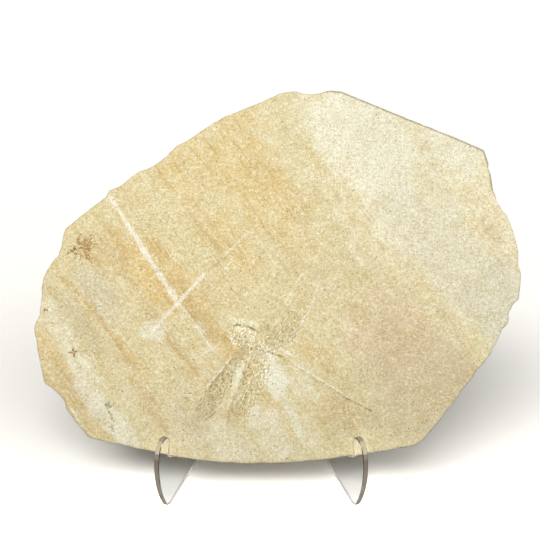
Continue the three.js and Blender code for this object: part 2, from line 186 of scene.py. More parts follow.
# Each stain is a patch: w, u, half its width, half its length, how soft its edge is, strength.
IRON_STAINS = (
    (92, 152, 17, 34, 9, 0.75), (108, 186, 12, 22, 8, 0.5), (76, 178, 9, 22, 7, 0.55),
    (57, 186, 8, 22, 6, 0.6), (94, 112, 9, 20, 8, 0.4), (55, 130, 10, 22, 6, 0.65),
    (68, 92, 7, 20, 6, 0.15), (19.5, 118, 6, 46, 3, 0.95), (40, 92, 3, 24, 4, 0.35),
    (3, 144, 8.5, 32, 3, 0.95), (-8, 150, 5, 22, 4, 0.3), (-10, 170, 8, 16, 5, 0.6),
    (5, 95, 4, 34, 3, 0.4), (-7.5, 100, 1.3, 27, 1.2, 0.9), (-37.5, 168, 1.6, 12, 1.5, 0.8),
    (-34.2, 146, 2.4, 16, 1.5, 0.8), (-33, 120, 1.8, 18, 2, 0.7), (-34.5, 98, 1.8, 14, 2.5, 0.5),
    (-38, 78, 2.3, 14, 2.5, 0.55), (-42, 60, 2.5, 12, 3, 0.5), (61, 181, 1.6, 13, 1.5, 0.9),
    (-26, 112, 1.8, 30, 2, 0.3), (-76, 125, 9.5, 46, 2.5, 0.65), (48, 4, 11, 16, 6, 0.34),
    (64, 30, 4, 26, 3, 0.4), (20, 30, 4, 10, 3, 0.45), (18, 14, 3, 9, 2.5, 0.5),
    (131, 100, 5, 60, 5, 0.3), (190.5, 38, 5, 9, 2.5, 0.95), (51.5, 142, 1, 10, 1.2, 0.9),
    (59, 141, 1, 9, 1.2, 0.7), (200, 44, 3, 16, 2, 0.3), (184, 130, 1.4, 10, 2, 0.35),
    (188, 112, 1.6, 12, 2, 0.4), (193, 86, 1.6, 14, 2, 0.4), (198, 66, 1.4, 9, 2, 0.3),
    (135.5, 105, 3, 22, 2.5, 0.5), (55.7, 46, 4, 8, 3, 0.6), (30, 150, 70, 100, 30, 0.25),
    (-1, 39, 5, 9, 3, 0.5),
)
UMBER_STAINS = (
    (19, 152, 3, 18, 3, 0.3), (16, 95, 3.5, 14, 3, 0.5), (-13, 176, 8, 12, 6, 0.25),
    (-2, 169, 6, 10, 4, 0.45), (-37.5, 166, 1.4, 12, 1.5, 0.6), (-34.2, 146, 1.8, 14, 1.5, 0.6),
    (-5.5, 140, 1.2, 30, 1.5, 0.5), (-35, 98, 1.6, 16, 2, 0.45), (-38, 78, 2, 14, 2.5, 0.45),
    (-42, 60, 2.5, 14, 3, 0.4), (20, 118, 4, 12, 3, 0.35), (-7.5, 96, 1.0, 22, 1.2, 0.6),
    (110, 72, 28, 50, 14, 0.18), (100, 146, 7, 12, 5, 0.2), (48, 2, 12, 14, 6, 0.26),
    (60, 20, 5, 26, 5, 0.25), (190.5, 38, 4.5, 8, 3, 0.6), (51.5, 142, 1.2, 11, 1.2, 0.7),
    (59, 141, 1, 9, 1.2, 0.4), (74, 172, 3, 8, 3, 0.2),
)
CHALK_STAINS = (
    (-56, 150, 6, 24, 1.8, 0.42), (-60, 122, 6, 22, 1.5, 0.55), (-65.5, 88, 6.5, 28, 1.5, 0.72),
    (-24, 154, 7, 18, 3, 0.28), (150, 60, 8, 62, 3, 0.35), (-13.5, 110, 7.5, 10, 1.2, 0.66),
    (14.7, 61, 3, 6, 1.5, 0.5), (80, 36, 10, 14, 6, 0.25), (172, 10, 10, 16, 6, 0.5),
    (33, 46, 4.5, 13, 2, 0.7), (27, 39, 6.3, 9, 2, 1.1), (29, 75, 4, 4, 2, 0.3),
    (25, 18, 2.5, 14, 2, 0.6), (41, 30, 9, 12, 4, 0.28), (8, 34, 2.5, 3.5, 1.5, 0.6),
    (9, 17, 9, 12, 3, 0.55), (-14, 27, 9, 12, 4, 0.45), (-34, 44, 9, 16, 5, 0.25),
    (196, 60, 56, 115, 3, 0.4), (162, 130, 25, 42, 5, 0.82), (152, 80, 16, 36, 4, 0.55),
    (205, 86, 15, 20, 8, 0.85), (148, 165, 14, 20, 8, 0.45), (128, 78, 10, 55, 8, 0.3),
)
DUN_STAINS = (
    (102, -10, 30, 34, 14, 0.36), (-45, 146, 6.5, 24, 4, 0.4), (-26, 158, 6, 14, 5, 0.3),
    (122, -20, 10, 14, 8, 0.5), (-24, 154, 8, 20, 5, 0.28), (-77, 108, 7, 20, 6, 0.25),
    (-27, 56, 5, 9, 5, 0.3), (60, 0, 14, 16, 8, 0.2),
)
# Where the stone turns faintly pink.
ROSE_STAINS = (
    (104, 6, 26, 44, 8, 0.22), (96, 62, 22, 24, 8, 0.06), (-10, 66, 26, 18, 8, 0.05),
)
# Where it turns cool and faintly blue.
COOL_STAINS = (
    (-24, 150, 7, 16, 3, 0.2), (164, 46, 20, 50, 8, 0.36), (170, -6, 22, 32, 6, 0.5),
    (196, 120, 40, 40, 8, 0.2),
)
EDGE_DARKENING = ((194, 120, 40, 62, 8, 1.0),)  # the straight edge, where the rim is darkened most
PAINTED_FOOT_SHADE = 0.2  # painted shade: how much darker the stone is made towards its foot, standing in for light falling off down the face
MARKED_DEPTH = 0.7  # how far behind the face's plane lines are still drawn
UNMARKED = 20  # added to every distance beyond that, so that no line shows
FAR_OFF = 9.0  # millimetres, for a place that no line or wing is near
NEAR = 4  # how far round a line or a wing places are measured

# ---- how a dendrite grows ----

STEM_STEP = 0.8  # millimetres from bend to bend
STEM_BEND = 0.16  # radians at most
TWIG_CHANCE = 0.75
TWIG_TURN = (0.6, 1.1)  # radians away from the stem
TWIG_LENGTH = (0.22, 0.42)  # as a share of the stem's
TWIG_WIDTH = 0.75  # as a share of the stem's

# ---- the slab's relief and how finely it is meshed, in millimetres ----

SWELL_HEIGHT, SWELL_WIDTH = 0.22, 70  # the face's broadest unevenness
ROLL_HEIGHT, ROLL_WIDTH = 0.1, 24
RIPPLE_HEIGHT, RIPPLE_WIDTH = 0.03, 5
BED_HEIGHT, BED_WIDTH = 0.1, 46  # patches of the next bed that are left on the face
FACE_DROP = 0.05  # how far the whole face lies behind its plane
GRAIN_WIDTH = 1.7
FLAKE_HEIGHT, FLAKE_WIDTH = 0.12, 14  # on the back
BITE_DEPTH, BITE_WIDTH = 1.1, 8  # where the front edge is broken further back
JITTER = 0.18  # how far each point of the mesh may stray, as a share of the step
FACE_STEP = 1.3
FOSSIL_STEP = 0.55
DENDRITE_STEP = 0.28
BACK_STEP = 2.2
RIM_STEP = 1.25
# The rings round the rim: how far each is behind the face, how far in from the outline, and how
# far that swings.
RIM_DEPTHS = (0, 0.35, 0.8, 1.4, 2.1, 2.9, 3.3, 4.2, 5.1, 6.2, 7.2)
RIM_INSETS = (0.55, 0.2, 0.05, 0.1, 0.15, 0.2, 0.95, 0.9, 0.95, 1.6, 2.6)
RIM_SWINGS = (0.25, 0.1, 0.05, 0.15, 0.25, 0.35, 0.7, 0.6, 0.7, 0.9, 1.3)


# ---- small tools ----

def to_slab(points):
    """World metres to the slab's own millimetres."""
    inverse = np.array(SLAB_FRAME.inverted())
    return (points @ inverse[:3, :3].T + inverse[:3, 3]) / MM


def to_world(points):
    """The slab's own millimetres to world metres."""
    forward = np.array(SLAB_FRAME)
    return (points * MM) @ forward[:3, :3].T + forward[:3, 3]


def ease(low, high, value):
    """0 below low, 1 above high, and a smooth S between."""
    t = np.clip((value - low) / (high - low), 0, 1)
    return t * t * (3 - 2 * t)


def lumps(x, y, size, seed, lattice=128):
    """Smooth random heights between -1 and 1, with lumps of that many millimetres."""
    heights = np.random.default_rng(seed).uniform(-1, 1, (lattice, lattice))
    column, row = np.floor(x / size).astype(int), np.floor(y / size).astype(int)
    across, up = ease(0, 1, x / size - column), ease(0, 1, y / size - row)
    column, row = column % (lattice - 1), row % (lattice - 1)
    lower = heights[row, column] * (1 - across) + heights[row, column + 1] * across
    upper = heights[row + 1, column] * (1 - across) + heights[row + 1, column + 1] * across
    return lower * (1 - up) + upper * up


def rough(x, y, size, seed, octaves=3):
    """Lumps on lumps, each layer half as wide and half as high as the one before."""
    layers = [lumps(x + 17 * k, y - 29 * k, size / 2**k, seed + k) / 2**k for k in range(octaves)]
    return sum(layers)


def smooth_line(points):
    """A Catmull-Rom curve through the points, as a polyline with a point each millimetre or so."""
    ends = np.array([points[0], *points, points[-1]], float)
    curve = []
    for before, start, end, after in zip(ends, ends[1:], ends[2:], ends[3:]):
        count = max(2, int(np.linalg.norm(end - start)))
        for t in np.linspace(0, 1, count, endpoint=False):
            bend = (end - before) * t + (2 * before - 5 * start + 4 * end - after) * t**2
            curve.append(start + 0.5 * (bend + (3 * start - before - 3 * end + after) * t**3))
    return np.array([*curve, ends[-1]])


def line_distance(x, y, line):
    """How far each point is from a polyline, and how far along the line its nearest place is."""
    nearest = np.full(x.shape, 1e9)
    along = np.zeros(x.shape)
    travelled = 0.0
    for (ax, ay), (bx, by) in zip(line, line[1:]):
        length = math.hypot(bx - ax, by - ay)
        t = np.clip(((x - ax) * (bx - ax) + (y - ay) * (by - ay)) / length**2, 0, 1)
        gap = np.hypot(x - ax - t * (bx - ax), y - ay - t * (by - ay))
        along = np.where(gap < nearest, travelled + t * length, along)
        nearest = np.minimum(gap, nearest)
        travelled += length
    return nearest, along


def length_of(line):
    """The length of a polyline."""
    return np.linalg.norm(np.diff(line, axis=0), axis=1).sum()


def at_share(share, values):
    """The value at a share of the way along an evenly spaced row of them."""
    return np.interp(share, np.linspace(0, 1, len(values)), values)


def around(x, y, points):
    """Which places are in a box round some points, so that the rest needn't be measured."""
    low, high = np.min(points, axis=0) - NEAR, np.max(points, axis=0) + NEAR
    return (x > low[0]) & (x < high[0]) & (y > low[1]) & (y < high[1])


def inside(x, y, loop):
    """Whether each point is inside a closed loop."""
    hits = np.zeros(x.shape, bool)
    for (ax, ay), (bx, by) in zip(loop, np.roll(loop, -1, axis=0)):
        if ay == by:
            continue
        crosses = (ay > y) != (by > y)
        hits ^= crosses & (x < (bx - ax) * (y - ay) / (by - ay) + ax)
    return hits


def loop_depth(x, y, loop):
    """Distance to a closed loop, positive inside it."""
    gap, _ = line_distance(x, y, np.vstack([loop, loop[:1]]))
    return np.where(inside(x, y, loop), gap, -gap)


# ---- small tools for nodes ----

def linear(code):
    """An sRGB hex colour as the linear one that shaders take."""
    parts = [int(code[k:k + 2], 16) / 255 for k in (1, 3, 5)]
    return (*[p / 12.92 if p <= 0.04045 else ((p + 0.055) / 1.055) ** 2.4 for p in parts], 1)


def add(tree, kind, settings=None, **inputs):
    """Adds a node, sets its properties, and sets or links its inputs, named or numbered as _0.
    A colour may be given as its sRGB hex code."""
    node = tree.nodes.new(kind)
    for name, value in (settings or {}).items():
        setattr(node, name, value)
    for name, value in inputs.items():
        key = int(name[1:]) if name[0] == "_" else name.replace("_", " ")
        socket = node.inputs[key]
        if isinstance(value, bpy.types.NodeSocket):
            tree.links.new(value, socket)
        else:
            socket.default_value = linear(value) if isinstance(value, str) else value
    return node


def new_material(name):
    """A material with no nodes yet, and its node tree."""
    material = bpy.data.materials.new(name)
    material.use_nodes = True
    material.node_tree.nodes.clear()
    return material, material.node_tree


def attribute(tree, name):
    """One of the numbers kept on the slab's mesh."""
    return add(tree, "ShaderNodeAttribute", {"attribute_name": name}).outputs["Fac"]


def math_of(tree, operation, *values):
    """The result of one sum."""
    named = {f"_{k}": value for k, value in enumerate(values)}
    return add(tree, "ShaderNodeMath", {"operation": operation}, **named).outputs[0]


def vector_of(tree, operation, *values, **more):
    """The result of one sum of vectors."""
    named = {f"_{k}": value for k, value in enumerate(values)}
    return add(tree, "ShaderNodeVectorMath", {"operation": operation}, **named, **more).outputs[0]


def sum_of(tree, base, *layers):
    """A value with others laid on it, each times its own share."""
    for layer, share in layers:
        base = math_of(tree, "MULTIPLY_ADD", layer, share, base)
    return base


def fade(tree, value, start, end, low=0.0, high=1.0):
    """Low before start, high past end, and a smooth S between."""
    return add(
        tree, "ShaderNodeMapRange", {"interpolation_type": "SMOOTHSTEP"}, Value=value,
        From_Min=start, From_Max=end, To_Min=low, To_Max=high,
    ).outputs[0]


def grains(tree, place, size, detail=2.0, roughness=0.5):
    """Noise centred on 0, with grains of that many millimetres."""
    noise = add(
        tree, "ShaderNodeTexNoise", Vector=place, Scale=1 / size, Detail=detail, Roughness=roughness,
    )
    return math_of(tree, "SUBTRACT", noise.outputs["Fac"], 0.5)


def blend(tree, amount, below, above):
    """Two colours mixed by an amount."""
    settings = {"data_type": "RGBA"}
    return add(tree, "ShaderNodeMix", settings, _0=amount, _6=below, _7=above).outputs[2]


def coats(tree, colour, *layers):
    """A colour with others laid over it in turn, each as strongly as its amount says."""
    for amount, above in layers:
        colour = blend(tree, amount, colour, above)
    return colour


def surface(tree, **inputs):
    """A material's one shader and its output."""
    shader = add(tree, "ShaderNodeBsdfPrincipled", **inputs)
    add(tree, "ShaderNodeOutputMaterial", Surface=shader.outputs[0])


# ---- the slab ----

def cad_outline(node):
    """The rim's widest ring on the CAD slab, as points in the slab's plane, in order round it."""
    points = to_slab(np.array([v.co for v in node.data.vertices]))
    ring = points[np.abs(points[:, 2] + WIDEST_DEPTH) < 0.02][:, :2]
    ring = np.unique(np.round(ring, 3), axis=0)
    middle = ring.mean(axis=0)
    angle = np.arctan2(ring[:, 1] - middle[1], ring[:, 0] - middle[0])
    return ring[np.argsort(angle)]


def even_loop(loop, step):
    """The closed loop with its points spaced evenly, and the inward normal and place of each."""
    closed = np.vstack([loop, loop[:1]])
    lengths = np.concatenate([[0], np.cumsum(np.linalg.norm(np.diff(closed, axis=0), axis=1))])
    count = int(lengths[-1] / step)
    along = np.linspace(0, lengths[-1], count, endpoint=False)
    points = np.stack([np.interp(along, lengths, closed[:, k]) for k in (0, 1)], axis=1)
    tangent = np.roll(points, -2, axis=0) - np.roll(points, 2, axis=0)
    tangent /= np.linalg.norm(tangent, axis=1)[:, None]
    inward = np.stack([-tangent[:, 1], tangent[:, 0]], axis=1)
    return points, inward, along


def wing_edges():
    """Each wing's leading and trailing edge, as two lines of points from root to tip."""
    return {name: (smooth_line(wing["lead"]), smooth_line(wing["trail"])) for name, wing in WINGS.items()}


def wing_depths(x, y):
    """How deep each point is inside each wing, and its share of the way along it."""
    depths = {}
    for name, (lead, trail) in wing_edges().items():
        loop = np.vstack([lead, trail[::-1][1:]])
        near = around(x, y, loop)
        depth, share = np.full(x.shape, -FAR_OFF), np.zeros(x.shape)
        depth[near] = loop_depth(x[near], y[near], loop)
        _, along = line_distance(x[near], y[near], lead)
        share[near] = along / length_of(lead)
        depths[name] = depth, share
    return depths


def oval_height(x, y, oval, wider=0):
    """A low dome over a turned oval: 1 in the middle, 0 at its edge and outside."""
    dx, dy = x - oval["centre"][0], y - oval["centre"][1]
    c, s = math.cos(oval["turn"]), math.sin(oval["turn"])
    half_u, half_v = oval["half"]
    u, v = (dx * c + dy * s) / (half_u + wider), (-dx * s + dy * c) / (half_v + wider)
    return np.sqrt(np.clip(1 - u * u - v * v, 0, 1))


def face_height(x, y, edge_gap):
    """How far the face stands out of its plane: old bedding, then the fossil's relief."""
    calm = ease(2, 26, edge_gap)
    swell = SWELL_HEIGHT * lumps(x, y, SWELL_WIDTH, 11)
    height = calm * (swell + ROLL_HEIGHT * rough(x, y, ROLL_WIDTH, 12))
    height += RIPPLE_HEIGHT * rough(x, y, RIPPLE_WIDTH, 15, 2) - FACE_DROP
    height += BED_HEIGHT * ease(0.05, 0.18, rough(x, y * 0.7, BED_WIDTH, 21)) * calm
    grain = rough(x, y, GRAIN_WIDTH, 31, 2)
    for depth, _ in wing_depths(x, y).values():
        height += ease(-0.5, 0.7, depth) * (WING_RISE + 0.07 * grain)
    for wing in WINGS.values():
        gap, along = line_distance(x, y, smooth_line(wing["lead"]))
        height += LEAD_RISE * np.exp(-(gap / 0.5) ** 2) * ease(0, 6, along)
    for oval in (HEAD, THORAX):
        height += oval["rise"] * oval_height(x, y, oval) * (1 + 0.12 * grain)
    gap, along = line_distance(x, y, smooth_line(ABDOMEN_LINE))
    half = at_share(along / along.max(), ABDOMEN_HALF_WIDTHS)
    ridge = np.sqrt(np.clip(1 - (gap / half) ** 2, 0, 1))
    joints = 1 - 0.35 * np.exp(-((along % SEGMENT_LENGTH - SEGMENT_LENGTH / 2) / 0.4) ** 2)
    return height + ABDOMEN_RISE * ridge * joints


def scatter(loop, gap, steps, level_at=None):
    """Points in a jittered honeycomb inside the loop. The level says which step a place gets."""
    low, high = loop.min(axis=0), loop.max(axis=0)
    rng = np.random.default_rng(5)
    layers = []
    for level, step in enumerate(steps):
        xs = np.arange(low[0], high[0], step)
        ys = np.arange(low[1], high[1], step * math.sqrt(0.75))
        x, y = np.meshgrid(xs, ys)
        x[1::2] += step / 2
        x += rng.uniform(-JITTER, JITTER, x.shape) * step
        y += rng.uniform(-JITTER, JITTER, y.shape) * step
        x, y = x.ravel(), y.ravel()
        if level_at:
            here = level_at(x, y) == level
            x, y = x[here], y[here]
        layers.append(np.stack([x, y], axis=1))
    points = np.vstack(layers)
    return points[loop_depth(*points.T, loop) > gap]


def triangulated(loop, points):
    """Triangles over the loop and the points inside it. The loop's points keep their numbers."""
    flat = [Vector(p) for p in np.vstack([loop, points]).tolist()]
    count = len(loop)
    edges = [(k, (k + 1) % count) for k in range(count)]
    _, _, faces, originals, _, _ = delaunay_2d_cdt(flat, edges, [], 1, 1e-7)
    numbers = np.array([o[0] for o in originals])
    return numbers[np.array(faces)]


def fineness(x, y):
    """2 on a dendrite, 1 on the fossil or another fine marking, and 0 elsewhere."""
    level = np.zeros(x.shape, int)
    for depth, _ in wing_depths(x, y).values():
        level[depth > -1.5] = 1
    for oval in (HEAD, THORAX):
        level[oval_height(x, y, oval, 1.5) > 0] = 1
    markings = ((ABDOMEN_LINE, 1.9), *CALCITE_VEINS, *DARK_LINES, *BRIGHT_LINES)
    level[nearest_gap(markings, x, y) < 1.2] = 1
    level[nearest_gap(dendrites(RUST_DENDRITES) + dendrites(MANGANESE_DENDRITES), x, y) < 0.8] = 2
    return level


def in_scene(name, data):
    """A new object, at the origin of the scene."""
    thing = bpy.data.objects.new(name, data)
    bpy.context.scene.collection.objects.link(thing)
    return thing


def new_piece(name, points, faces, material):
    """A mesh object whose place is in its mesh."""
    mesh = bpy.data.meshes.new(name)
    mesh.from_pydata(points.tolist(), [], faces.tolist())
    mesh.validate()
    mesh.materials.append(material)
    return in_scene(name, mesh)


def store(mesh, name, values):
    """Keeps one number for each vertex, for the material to read."""
    kept = mesh.attributes.new(name, "FLOAT", "POINT")
    kept.data.foreach_set("value", values.astype(np.float32))


def back_depths(node, x, y):
    """How far behind the face the CAD slab's back is, at each point."""
    tree = BVHTree.FromPolygons(
        [Vector(p) for p in to_slab(np.array([v.co for v in node.data.vertices])).tolist()],
        [tuple(p.vertices) for p in node.data.polygons],
    )
    depths = []
    for px, py in zip(x.tolist(), y.tolist()):
        hit = tree.ray_cast(Vector((px, py, -40)), Vector((0, 0, 1)))[0]
        depths.append(-hit.z if hit else SHEET)
    return np.array(depths)


def nearest_gap(lines, x, y, wobble=1.0):
    """The least distance to any of the lines, less the line's half width. Negative is on it."""
    best = np.full(x.shape, FAR_OFF)
    wobble = np.broadcast_to(wobble, x.shape)
    for line, half in lines:
        line = smooth_line(line)
        near = around(x, y, line)
        gap, along = line_distance(x[near], y[near], line)
        length = length_of(line)
        taper = np.clip(np.minimum(along, length - along) / min(4, length * 0.4), 0.35, 1)
        best[near] = np.minimum(best[near], gap - half * taper * wobble[near])
    return best


def stain(x, y, patches, seed):
    """How strongly a set of ragged patches colours each point, from 0 to 1."""
    c, s = math.cos(BANDS_TURN), math.sin(BANDS_TURN)
    w, u = c * x + s * y, c * y - s * x
    w = w + 2.4 * rough(w, u * 0.5, 19, seed, 4)
    u = u + 6.0 * rough(w, u, 26, seed + 9)
    ragged = rough(w, u * 0.4, 6, seed + 20, 4)
    strength = np.zeros(x.shape)
    for w0, u0, half_w, half_u, soft, most in patches:
        far = (np.abs((w - w0) / half_w) ** 2.5 + np.abs((u - u0) / half_u) ** 2.5) ** 0.4
        over = (far - 1) * half_w + soft * 0.8 * ragged
        strength = np.maximum(strength, most * (1 - ease(-soft, soft * 1.4, over)))
    return strength


def sprout(rng, start, heading, length, width, order):
    """A dendrite's stem with its twigs: lines with half widths, each bending a little as it grows."""
    count = max(3, int(length / STEM_STEP))
    points = [start]
    twigs = []
    for k in range(1, count + 1):
        heading += rng.uniform(-STEM_BEND, STEM_BEND)
        x, y = points[-1]
        step = length / count
        points.append((x + step * math.cos(heading), y + step * math.sin(heading)))
        if order and rng.random() < TWIG_CHANCE:
            side = heading + rng.choice((-1, 1)) * rng.uniform(*TWIG_TURN)
            reach = length * rng.uniform(*TWIG_LENGTH) * (1.2 - k / count)
            twigs += sprout(rng, points[-1], side, reach, width * TWIG_WIDTH, order - 1)
    return [(tuple(points), width), *twigs]


def dendrites(stems):
    """Dendrites grown from their stems. The seed is fixed, so that they are the same each time."""
    rng = np.random.default_rng(3)
    lines = []
    for start, heading, length, width in stems:
        lines += sprout(rng, start, heading, length, width, 2 if length > 5 else 1)
    return lines


def limestone_slab(node, material):
    """The whole stone: face, broken rim and layered back, as one closed mesh."""
    outline, inward, along = even_loop(cad_outline(node), RIM_STEP)
    rings = []
    bite = BITE_DEPTH * np.clip(rough(along, 0 * along, BITE_WIDTH, 41) - 0.45, 0, 1)
    for depth, inset, swing in zip(RIM_DEPTHS, RIM_INSETS, RIM_SWINGS):
        ledge = rough(along, np.full_like(along, depth * 9), 9, 43)
        step_in = inset + swing * np.clip(ledge, -1, 1) + bite * math.exp(-depth / 3)
        ring = outline + inward * np.maximum(step_in, 0.02)[:, None]
        rings.append(np.column_stack([ring, np.full(len(ring), -depth)]))
    front_loop, back_loop = rings[0][:, :2], rings[-1][:, :2]

    face_points = scatter(front_loop, 0.6, (FACE_STEP, FOSSIL_STEP, DENDRITE_STEP), fineness)
    back_points = scatter(back_loop, 0.9, (BACK_STEP,))
    face_triangles = triangulated(front_loop, face_points)
    back_triangles = triangulated(back_loop, back_points)

    fx, fy = face_points.T
    edge_gap = loop_depth(fx, fy, front_loop)
    face = np.column_stack([face_points, face_height(fx, fy, edge_gap)])
    bx, by = back_points.T
    back_gap = loop_depth(bx, by, back_loop)
    flaking = FLAKE_HEIGHT * rough(bx, by, FLAKE_WIDTH, 51) + 0.05 * rough(bx, by, 3.5, 55, 2)
    back = np.column_stack([back_points, -back_depths(node, bx, by) + flaking * ease(0, 8, back_gap)])
    count = len(outline)
    edge_height = face_height(*front_loop.T, np.zeros(count))
    rings[0][:, 2] += edge_height

    points = np.vstack([*rings, face, back])
    first_face = len(RIM_DEPTHS) * count
    first_back = first_face + len(face)
    face_numbers = np.concatenate([np.arange(count), np.arange(len(face)) + first_face])
    last_ring = (len(RIM_DEPTHS) - 1) * count
    back_numbers = np.concatenate([np.arange(count) + last_ring, np.arange(len(back)) + first_back])
    here = np.arange(count)
    after = (here + 1) % count
    strips = []
    for row in range(len(RIM_DEPTHS) - 1):
        upper, lower = row * count, (row + 1) * count
        strips.append(np.column_stack([here + upper, here + lower, after + upper]))
        strips.append(np.column_stack([after + upper, here + lower, after + lower]))
    faces = np.vstack([face_numbers[face_triangles], *strips, back_numbers[back_triangles][:, ::-1]])

    slab = new_piece("fossil_limestone_slab", to_world(points), faces, material)
    smooth = np.ones(len(faces), bool)
    smooth[len(face_triangles):len(faces) - len(back_triangles)] = False
    slab.data.polygons.foreach_set("use_smooth", smooth)
    mark(slab.data, *points.T)
    return slab


def mark(mesh, x, y, z):
    """Keeps every marking on the stone: distances to lines in mm, and strengths from 0 to 1."""
    on_face = z > -MARKED_DEPTH
    hidden = np.where(on_face, 0, UNMARKED)
    wobble = 1 + 0.35 * rough(x, y, 5, 61)
    lines = {
        "calcite_gap": CALCITE_VEINS,
        "dark_gap": DARK_LINES,
        "bright_gap": BRIGHT_LINES,
        "pale_gap": PALE_LINES,
        "brown_gap": BROWN_LINES,
        "rust_gap": dendrites(RUST_DENDRITES),
        "manganese_gap": dendrites(MANGANESE_DENDRITES),
        "crack_gap": ((CRACK, 0.22),),
    }
    for name, rows in lines.items():
        store(mesh, name, nearest_gap(rows, x, y, wobble) + hidden)
    patches = {
        "iron": IRON_STAINS, "umber": UMBER_STAINS, "chalk": CHALK_STAINS, "dun": DUN_STAINS,
        "rose": ROSE_STAINS, "cool": COOL_STAINS,
    }
    for number, (name, rows) in enumerate(patches.items()):
        store(mesh, name, stain(x, y, rows, 71 + 10 * number))

    grit = 0.8 * rough(x, y, 2.4, 64, 2)
    film, hatch = np.zeros(x.shape), np.zeros(x.shape)
    for name, (depth, share) in wing_depths(x, y).items():
        film = np.maximum(film, at_share(share, FILM[name]) * ease(-0.6, 0.9, depth + grit))
        hatch = np.maximum(hatch, at_share(share, HATCH[name]) * ease(-1.5, 1.0, depth + grit))
    for oval in (HEAD, THORAX):
        hatch = np.maximum(hatch, 0.8 * ease(0, 0.6, oval_height(x, y, oval, WIDE_HALO)))
    store(mesh, "film", film * on_face)
    store(mesh, "hatch", hatch * on_face)
    edge_gap = loop_depth(x, y, cad_outline(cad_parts[SLAB]))
    store(mesh, "edge_gap", edge_gap + 0.4 - 0.9 * stain(x, y, EDGE_DARKENING, 121))


def wing_blade(name):
    """One wing as a flat mesh in the slab's millimetres: a grid for the net, and its long veins."""
    lead, trail = wing_edges()[name]

    def spot(along, across):
        front, rear = [np.array([at_share(along, line[:, k]) for k in (0, 1)]) for line in (lead, trail)]
        return (*(front * (1 - across) + rear * across), 0)

    columns, rows = NETS[name]["cells"]
    points = [
        spot(along, across)
        for along in np.linspace(0.02, 0.99, columns) for across in np.linspace(0.02, 0.98, rows)
    ]
    faces = [
        (k * rows + j, (k + 1) * rows + j, (k + 1) * rows + j + 1, k * rows + j + 1)
        for k in range(columns - 1) for j in range(rows - 1)
    ]
    edges = []
    for (start, across_start), (end, across_end) in LONG_VEINS:
        for t in np.linspace(0, 1, LONG_VEIN_POINTS):
            if t:
                edges.append((len(points) - 1, len(points)))
            bend = t * t * (1.5 - 0.5 * t)
            across = across_start + (across_end - across_start) * bend
            points.append(spot(start + (end - start) * t, across))
    mesh = bpy.data.meshes.new(name + "_blade")
    mesh.from_pydata(points, edges, faces)
    _, along = line_distance(*np.array(points)[:, :2].T, lead)
    store(mesh, "trace", at_share(along / length_of(lead), NETS[name]["trace"]))
    return mesh


def net_tree():
    """Nodes that turn a wing's blade into a net of thin veins, laid on the slab's face."""
    tree = bpy.data.node_groups.new("wing_net", "GeometryNodeTree")
    sockets = (
        ("Blade", "NodeSocketGeometry"), ("Slab", "NodeSocketObject"), ("Radius", "NodeSocketFloat"),
        ("Lost", "NodeSocketFloat"), ("Seed", "NodeSocketInt"), ("Material", "NodeSocketMaterial"),
    )
    for name, kind in sockets:
        tree.interface.new_socket(name, in_out="INPUT", socket_type=kind)
    tree.interface.new_socket("Net", in_out="OUTPUT", socket_type="NodeSocketGeometry")
    given = add(tree, "NodeGroupInput").outputs
    facing = SLAB_FRAME.to_3x3() @ Vector((0, 0, 1))

    shift = add(
        tree, "FunctionNodeRandomValue", {"data_type": "FLOAT_VECTOR"},
        _0=(-NET_JITTER, -NET_JITTER, 0), _1=(NET_JITTER, NET_JITTER, 0), Seed=given["Seed"],
    ).outputs["Value"]
    loose = add(tree, "GeometryNodeInputMeshEdgeNeighbors").outputs[0]
    is_long = add(tree, "FunctionNodeCompare", {"data_type": "INT", "operation": "EQUAL"}, A=loose, B=0)
    parts = add(
        tree, "GeometryNodeSeparateGeometry", {"domain": "EDGE"}, Geometry=given["Blade"],
        Selection=is_long.outputs[0],
    ).outputs
    jittered = add(tree, "GeometryNodeSetPosition", Geometry=parts["Inverted"], Offset=shift).outputs[0]
    cells = add(
        tree, "GeometryNodeDualMesh", Mesh=add(tree, "GeometryNodeTriangulate", Mesh=jittered).outputs[0],
    ).outputs[0]
    gone = add(
        tree, "FunctionNodeRandomValue", {"data_type": "BOOLEAN"}, Probability=given["Lost"],
        Seed=given["Seed"],
    ).outputs[3]
    broken = add(
        tree, "GeometryNodeDeleteGeometry", {"domain": "EDGE", "mode": "EDGE_FACE"}, Geometry=cells,
        Selection=gone,
    ).outputs[0]
    both = add(tree, "GeometryNodeJoinGeometry")
    for part in (broken, parts["Selection"]):
        tree.links.new(part, both.inputs[0])
    lines = add(tree, "GeometryNodeMeshToCurve", Mesh=both.outputs[0]).outputs[0]
    placed = add(
        tree, "GeometryNodeTransform", Geometry=lines, Rotation=(SLAB_TURN, 0, 0), Scale=(MM, MM, MM),
        Translation=SLAB_FRAME @ (Vector((0, 0, NET_START)) * MM),
    ).outputs[0]
    slab = add(tree, "GeometryNodeObjectInfo", Object=given["Slab"]).outputs["Geometry"]
    hit = add(
        tree, "GeometryNodeRaycast", _0=slab, Ray_Direction=-facing, Ray_Length=NET_REACH * MM,
    ).outputs["Hit Position"]
    lifted = vector_of(tree, "ADD", hit, facing * NET_LIFT * MM)
    laid = add(tree, "GeometryNodeSetPosition", Geometry=placed, Position=lifted).outputs[0]
    radius = math_of(tree, "MULTIPLY", given["Radius"], MM)
    section = add(tree, "GeometryNodeCurvePrimitiveCircle", Resolution=5, Radius=radius).outputs[0]
    tubes = add(tree, "GeometryNodeCurveToMesh", Curve=laid, Profile_Curve=section, Fill_Caps=True)
    whole = add(tree, "GeometryNodeRealizeInstances", Geometry=tubes.outputs[0]).outputs[0]
    dressed = add(tree, "GeometryNodeSetMaterial", Geometry=whole, Material=given["Material"])
    add(tree, "NodeGroupOutput", Net=dressed.outputs[0])
    return tree


